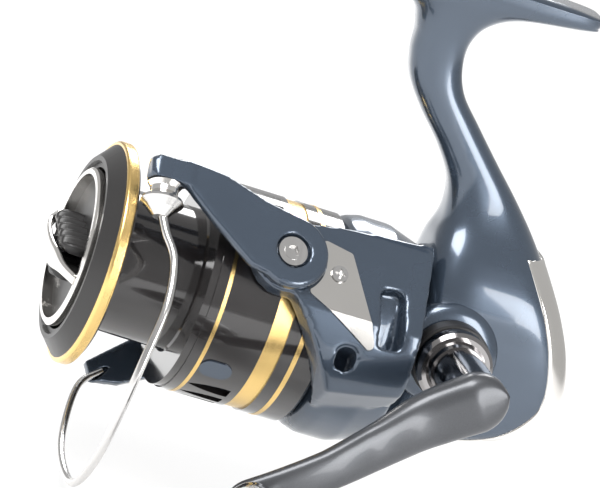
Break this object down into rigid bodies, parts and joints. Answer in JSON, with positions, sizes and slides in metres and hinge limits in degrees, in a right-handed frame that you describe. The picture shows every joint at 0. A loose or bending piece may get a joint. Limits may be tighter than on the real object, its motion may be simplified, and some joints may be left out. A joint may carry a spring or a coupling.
{
  "type": "spinning reel",
  "caption": "Front-drag spinning reel with a turning rotor and bail, an oscillating spool, a cranked handle and a foot for a rod's reel seat.",
  "frame": {"origin": "centre of the foot's flat mounting face", "axes": "+Z out of the mounting face, away from the reel; -X forward along the main shaft to the spool's nose; -Y the handle side"},
  "size_m": [0.1259, 0.1263, 0.1331],
  "materials": {
    "blue_paint": "metallic blue-grey paint under clear lacquer",
    "gold_anodised": "gold anodised, fine turned lines",
    "spool_black": "gloss black lacquer",
    "satin_black": "satin black",
    "polished_silver": "polished plate",
    "black_chrome": "black chrome",
    "gunmetal": "satin gunmetal paint",
    "gloss_black": "gloss moulded",
    "stainless": "bright ground steel",
    "brass": "machined",
    "zinc_gear": "cast",
    "drag_felt": "oiled felt"
  },
  "bodies": {
    "frame": {"reel_body": "blue_paint", "side_cover": "blue_paint", "rear_guard": "polished_silver", "case_screws": "stainless", "roller_clutch": "stainless", "pinion_bearings": "stainless", "drive_gear_bearings": "stainless", "handle_dust_cap": "black_chrome", "slider_guide_rod": "stainless"},
    "crank": {"handle_shaft": "stainless", "drive_gear": "zinc_gear", "handle_seal_ring": "satin_black", "handle_collar": "black_chrome", "handle_hub": "black_chrome", "handle_arm": "gunmetal", "knob_post": "stainless"},
    "knob": {"handle_knob": "gloss_black", "knob_bearings": "stainless", "knob_cap": "gloss_black"},
    "rotor": {"rotor": "blue_paint", "rotor_nut": "stainless", "pinion_gear": "brass", "clutch_sleeve": "stainless", "arm_cover_plate": "polished_silver", "arm_cover_screw": "stainless"},
    "bail": {"bail_wire": "stainless", "roller_cone": "stainless", "roller_screw": "stainless", "bail_arm_lever": "blue_paint", "bail_holder": "blue_paint", "bail_pivot_screws": "stainless"},
    "line_roller": {"line_roller": "polished_silver", "roller_bearing": "stainless"},
    "shaft": {"main_shaft": "stainless", "spool_seat": "brass", "oscillating_slider": "zinc_gear", "keyed_drag_washers": "stainless"},
    "spool": {"spool_barrel": "spool_black", "spool_lip_ring": "gold_anodised", "spool_nose_cone": "satin_black", "spool_skirt": "spool_black", "front_gold_line": "gold_anodised", "rear_gold_line": "gold_anodised", "wide_gold_band": "gold_anodised", "line_clip": "blue_paint", "spool_bearing": "stainless", "eared_drag_washers": "drag_felt"},
    "drag_knob": {"drag_knob_ring": "polished_silver", "drag_knob_dish": "satin_black", "drag_knob_grip": "gloss_black"},
    "worm": {"worm_shaft": "stainless", "worm_gear": "brass"}
  },
  "joints": [
    {"name": "handle_turn", "type": "hinge", "parent": "frame", "child": "crank", "pos_m": [0.0257, 0, -0.0821], "axis": [0, -1, 0], "continuous": true},
    {"name": "rotor_turn", "type": "hinge", "parent": "frame", "child": "rotor", "pos_m": [-0.019, 0, -0.0876], "axis": [-1, 0, 0], "continuous": true},
    {"name": "worm_turn", "type": "hinge", "parent": "frame", "child": "worm", "pos_m": [0.02, -0.008, -0.0916], "axis": [-1, 0, 0], "continuous": true},
    {"name": "knob_spin", "type": "hinge", "parent": "crank", "child": "knob", "pos_m": [-0.01822, 0, -0.1152], "axis": [0, -1, 0], "continuous": true},
    {"name": "bail_swing", "type": "hinge", "parent": "rotor", "child": "bail", "pos_m": [-0.019, 0, -0.0876], "axis": [0, 0.766, -0.6428], "range_deg": [0, 105]},
    {"name": "line_roller_spin", "type": "hinge", "parent": "bail", "child": "line_roller", "pos_m": [-0.05, -0.01849, -0.06452], "axis": [0, -0.6428, -0.766], "continuous": true},
    {"name": "spool_stroke", "type": "slide", "parent": "frame", "child": "shaft", "axis": [-1, 0, 0], "range_m": [0, 0.014]},
    {"name": "spool_slip", "type": "hinge", "parent": "shaft", "child": "spool", "pos_m": [-0.019, 0, -0.0876], "axis": [-1, 0, 0], "continuous": true},
    {"name": "drag_adjust", "type": "hinge", "parent": "shaft", "child": "drag_knob", "pos_m": [-0.059, 0, -0.0876], "axis": [-1, 0, 0], "range_deg": [-360, 360]}
  ],
  "couplings": [
    {"joint": "rotor_turn", "follows": "handle_turn", "ratio": 5.3},
    {"joint": "worm_turn", "follows": "handle_turn", "ratio": -5.8889}
  ]
}
